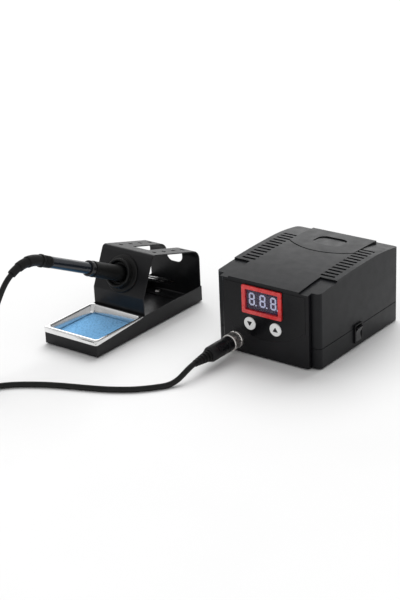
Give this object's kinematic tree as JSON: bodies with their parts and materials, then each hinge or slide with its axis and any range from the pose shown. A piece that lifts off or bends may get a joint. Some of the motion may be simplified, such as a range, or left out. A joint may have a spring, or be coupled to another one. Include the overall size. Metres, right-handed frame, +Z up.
{
  "type": "soldering station",
  "caption": "Temperature-controlled soldering station: control unit with display and buttons, corded iron, and sheet-steel iron stand with a sponge tray.",
  "frame": {"origin": "centre of the whole set's footprint (without the iron's cord and plug) on the table", "axes": "+Z up, the control unit's display faces -Y, the control unit stands on the +X side and the iron stand on the -X side"},
  "size_m": [0.3454, 0.4456, 0.1277],
  "materials": {
    "case_plastic": "satin, fine-grained",
    "fascia_plastic": "satin",
    "overlay_film": "smooth film",
    "red_plastic": "translucent, glossy",
    "tinted_window": "tinted, clear",
    "module_black": "glossy",
    "lit_segments": "glowing",
    "white_plastic": "glossy",
    "black_plastic": "satin",
    "gloss_black": "glossy",
    "circuit_board": "solder mask",
    "zinc_steel": "zinc plated",
    "core_steel": "varnished laminations",
    "coil_tape": "wound and taped",
    "capacitor_sleeve": "shrink sleeve",
    "aluminium": "extruded",
    "nickel": "nickel plated",
    "fuse_glass": "clear",
    "rubber_black": "matte",
    "plug_plastic": "satin",
    "gilt_brass": "plated",
    "cord_sheath": "satin",
    "tie_fabric": "woven hook-and-loop",
    "powder_coat": "powder coat, fine texture",
    "bushing_plastic": "satin",
    "bright_steel": "bright, stamped",
    "sponge_blue": "open-cell cellulose sponge",
    "handle_gloss": "glossy blue-black",
    "heater_ceramic": "unglazed",
    "tip_plating": "iron plated, heat darkened"
  },
  "bodies": {
    "root": {"top_cover": "case_plastic", "bottom_case": "case_plastic", "front_fascia": "fascia_plastic", "fascia_overlay": "overlay_film", "display_bezel": "red_plastic", "display_window": "tinted_window", "display_module": "module_black", "display_digits": "lit_segments", "tact_switches": "black_plastic", "display_board": "circuit_board", "display_board_screws": "zinc_steel", "main_board": "circuit_board", "transformer_core": "core_steel", "transformer_coil": "coil_tape", "transformer_bracket": "zinc_steel", "transformer_screws": "zinc_steel", "capacitor": "capacitor_sleeve", "triac": "black_plastic", "heat_sink": "aluminium", "iron_socket": "nickel", "socket_nut": "nickel", "rocker_housing": "black_plastic", "rear_panel": "case_plastic", "mains_inlet": "black_plastic", "inlet_pins": "nickel", "station_feet": "rubber_black", "case_screws": "zinc_steel", "plug_body": "plug_plastic", "plug_relief": "rubber_black", "plug_pins": "gilt_brass", "cord_plug_run": "cord_sheath", "cord_coil": "cord_sheath", "cord_tie": "tie_fabric", "cord_lead": "cord_sheath", "stand_base": "powder_coat", "iron_holder": "powder_coat", "holder_bushing": "bushing_plastic", "bushing_clip": "zinc_steel", "holder_screws": "zinc_steel", "stand_feet": "rubber_black"},
    "down_button": {"down_button": "white_plastic"},
    "up_button": {"up_button": "white_plastic"},
    "rocker": {"power_rocker": "gloss_black"},
    "plug_ring": {"coupling_ring": "nickel"},
    "fuse_drawer": {"fuse_drawer": "black_plastic", "fuse": "fuse_glass"},
    "tray": {"sponge_tray": "bright_steel"},
    "sponge": {"sponge": "sponge_blue"},
    "iron": {"iron_handle": "handle_gloss", "iron_sleeve": "rubber_black", "cord_relief": "rubber_black", "iron_collar": "gloss_black", "iron_grip": "rubber_black", "iron_barrel": "bright_steel", "heater_core": "heater_ceramic", "iron_tip": "tip_plating"},
    "barrel_nut": {"barrel_nut": "nickel"}
  },
  "joints": [
    {"name": "iron_lift", "type": "slide", "parent": "root", "child": "iron", "axis": [0, -0.91, 0.4147], "range_m": [0, 0.12], "deforming": ["cord_lead"]},
    {"name": "nut_turn", "type": "hinge", "parent": "iron", "child": "barrel_nut", "pos_m": [-0.11081, 0.00347, 0.05881], "axis": [0, -0.91, 0.4147], "continuous": true},
    {"name": "tray_lift", "type": "slide", "parent": "root", "child": "tray", "axis": [0, 0, 1], "range_m": [0, 0.018]},
    {"name": "sponge_lift", "type": "slide", "parent": "tray", "child": "sponge", "axis": [0, 0, 1], "range_m": [0, 0.018]},
    {"name": "down_press", "type": "slide", "parent": "root", "child": "down_button", "axis": [0, 1, 0], "range_m": [0, 0.0008], "stiffness_N_per_m": 600, "springref_m": -0.0005},
    {"name": "up_press", "type": "slide", "parent": "root", "child": "up_button", "axis": [0, 1, 0], "range_m": [0, 0.0008], "stiffness_N_per_m": 600, "springref_m": -0.0005},
    {"name": "rocker_swing", "type": "hinge", "parent": "root", "child": "rocker", "pos_m": [0.14324, 0.0846, 0.0167], "axis": [0, -1, 0], "range_deg": [0, 18]},
    {"name": "ring_turn", "type": "hinge", "parent": "root", "child": "plug_ring", "pos_m": [0.04204, -0.0029, 0.015], "axis": [0, -1, 0], "continuous": true},
    {"name": "drawer_pull", "type": "slide", "parent": "root", "child": "fuse_drawer", "axis": [0, 1, 0], "range_m": [0, 0.021]}
  ]
}
